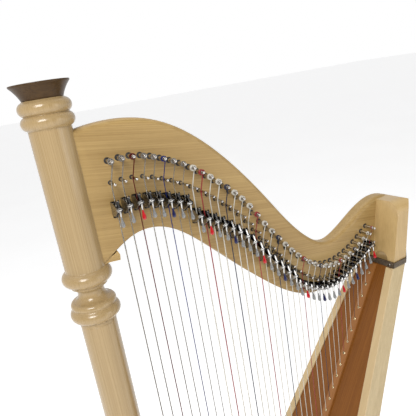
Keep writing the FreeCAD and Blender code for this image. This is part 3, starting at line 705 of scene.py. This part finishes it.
def lever_frames():
    """A plate on the neck, two cheeks that hold the axle, the fixed fret and its saddle, for each lever."""
    piece = Build("lever_frame_set")
    w = FRAME_HALF_WIDTH
    c = PLATE_CHAMFER
    back = NECK_FACE_Y - PLATE / 2
    half = w - CHEEK / 2
    for number, pivot in enumerate(PIVOTS, 1):
        kind = lever_kind(number)
        low, high = (pivot.z + v * MM for v in kind["plate"])
        fret = Vector((pivot.x, FRET_Y, pivot.z + kind["fret"] * MM))
        plate = [(-w, low + c), (-w + c * 0.4, low + c * 0.4), (-w + c, low), (w - c, low),
                 (w - c * 0.4, low + c * 0.4), (w, low + c), (w, high - c * 0.6), (w - c * 0.6, high),
                 (-w + c * 0.6, high), (-w, high - c * 0.6)]
        # The plate is painted near black: painted shade behind the levers.
        piece.prism([Vector((pivot.x + a, NECK_FACE_Y, z)) for a, z in plate], OUT * PLATE, "burnished")
        cheek = [(back, low + 3 * MM), (back, high - 0.5 * MM), (FRET_Y - 4 * MM, high - 0.5 * MM)]
        for k in range(7):
            a = math.radians(60 + 170 * k / 6)
            cheek.append((pivot.y + CHEEK_NOSE * math.cos(a), pivot.z + CHEEK_NOSE * math.sin(a)))
        cheek.append((FRET_Y - 4 * MM, low + 6 * MM))
        # The near cheek keeps the steel colour. The far cheek, seen only from inside the gap, is painted
        # near black for its shade.
        for left, material in ((-w, "steel"), (w - CHEEK, "burnished")):
            piece.prism([Vector((pivot.x + left, y, z)) for y, z in cheek], ACROSS * CHEEK, material)
        piece.lathe([(0, 0), (FRET_RADIUS, 0), (FRET_RADIUS, 2 * half), (0, 2 * half)],
                    fret - ACROSS * half, ACROSS, "arm", 24)
        saddle = [(FRET_Y + 2.6 * MM, -1.6), (FRET_Y + 2.6 * MM, 1.6), (FRET_Y - 0.2 * MM, 1.2),
                  (FRET_Y - 0.2 * MM, -1.2)]
        piece.prism([Vector((pivot.x - 2.2 * MM, y, fret.z + z * MM)) for y, z in saddle],
                    ACROSS * 4.4 * MM, "black")
    piece.object("harp", "lever_frames", "frame_steel", 0.22 * MM)


# ---- the CAD's own pieces ----

CARRIED = {
    "base": "base", "feet": "rubber", "neck": "neck", "neck_ledge": "neck", "shoulder": "shoulder",
    "shoulder_band": "band", "soundbox_staves": "box", "soundboard": "board", "board_edging": "edging",
    "string_rib": "rib", "inner_rib": "inner", "back_braces": "inner",
}


def dress_carried_nodes():
    for node, material in CARRIED.items():
        target = NODES[node]
        if not target.material_slots:
            target.data.materials.append(MATERIALS[material])
        for holder in target.material_slots:
            holder.link = "OBJECT"
            holder.material = MATERIALS[material]


# ---- studio ----

def make_camera():
    data = bpy.data.cameras.new("camera")
    data.sensor_width = SENSOR_WIDTH
    data.lens = CAMERA_LENS
    data.clip_end = CAMERA_REACH
    cam = bpy.data.objects.new("camera", data)
    bpy.context.scene.collection.objects.link(cam)
    forward = CAMERA_FORWARD
    right = (CAMERA_RIGHT - forward * CAMERA_RIGHT.dot(forward)).normalized()
    up = right.cross(forward)
    place = Matrix((right, up, -forward)).transposed().to_4x4()
    place.translation = CAMERA_PLACE
    cam.matrix_world = place
    bpy.context.scene.camera = cam


def area_light(name, place, target, size, power):
    data = bpy.data.lights.new(name, "AREA")
    data.shape = "RECTANGLE"
    data.size, data.size_y = size
    data.energy = power
    light = bpy.data.objects.new(name, data)
    bpy.context.scene.collection.objects.link(light)
    place = Vector(place)
    light.matrix_world = (Vector(target) - place).to_track_quat("-Z", "Y").to_matrix().to_4x4()
    light.location = place


def make_floor():
    half = FLOOR_HALF
    mesh = bpy.data.meshes.new("floor")
    corners = [(-half, -half, 0), (half, -half, 0), (half, half, 0), (-half, half, 0)]
    mesh.from_pydata(corners, [], [(0, 1, 2, 3)])
    n = Nodes("floor_paint")
    cloud = n.noise(n.place((0.9, 0.9, 0.9)), 3.0)
    paint = n.ramp(cloud, ((0.3, (0.90, 0.90, 0.89)), (0.7, (0.94, 0.94, 0.93))))
    n.link(paint, n.shader.inputs["Base Color"])
    mesh.materials.append(n.finish(Roughness=0.8, Emission_Color=WHITE, Emission_Strength=FLOOR_GLOW))
    floor = bpy.data.objects.new("floor", mesh)
    bpy.context.scene.collection.objects.link(floor)


def make_world():
    """White to the camera, and darker from the front, which gives metal its contrast."""
    world = bpy.data.worlds.new("studio")
    bpy.context.scene.world = world
    world.use_nodes = True
    tree = world.node_tree
    back = tree.nodes["Background"]
    coords = tree.nodes.new("ShaderNodeTexCoord")
    split = tree.nodes.new("ShaderNodeSeparateXYZ")
    ramp = tree.nodes.new("ShaderNodeValToRGB")
    spread = tree.nodes.new("ShaderNodeMapRange")
    path = tree.nodes.new("ShaderNodeLightPath")
    mix = tree.nodes.new("ShaderNodeMix")
    mix.data_type = "RGBA"
    spread.inputs["From Min"].default_value = -1.0
    ramp.color_ramp.elements[0].position = 0.2
    ramp.color_ramp.elements[0].color = (*ROOM_FRONT, 1)
    ramp.color_ramp.elements[1].position = 0.75
    ramp.color_ramp.elements[1].color = (*ROOM_BACK, 1)
    tree.links.new(coords.outputs["Generated"], split.inputs[0])
    tree.links.new(split.outputs["Y"], spread.inputs["Value"])
    tree.links.new(spread.outputs["Result"], ramp.inputs["Fac"])
    tree.links.new(path.outputs["Is Camera Ray"], mix.inputs["Factor"])
    tree.links.new(ramp.outputs["Color"], mix.inputs["A"])
    mix.inputs["B"].default_value = WHITE
    tree.links.new(mix.outputs["Result"], back.inputs["Color"])
    back.inputs["Strength"].default_value = 1.0


def main():
    dress_carried_nodes()
    pillar()
    tuning_pins()
    bridge_pins()
    eyelets()
    screws()
    strings()
    for number in range(1, len(PIVOTS) + 1):
        lever(number)
    lever_frames()
    make_camera()
    make_world()
    make_floor()
    for light in LIGHTS:
        area_light(*light)
    bpy.context.scene.view_settings.view_transform = "Standard"


main()
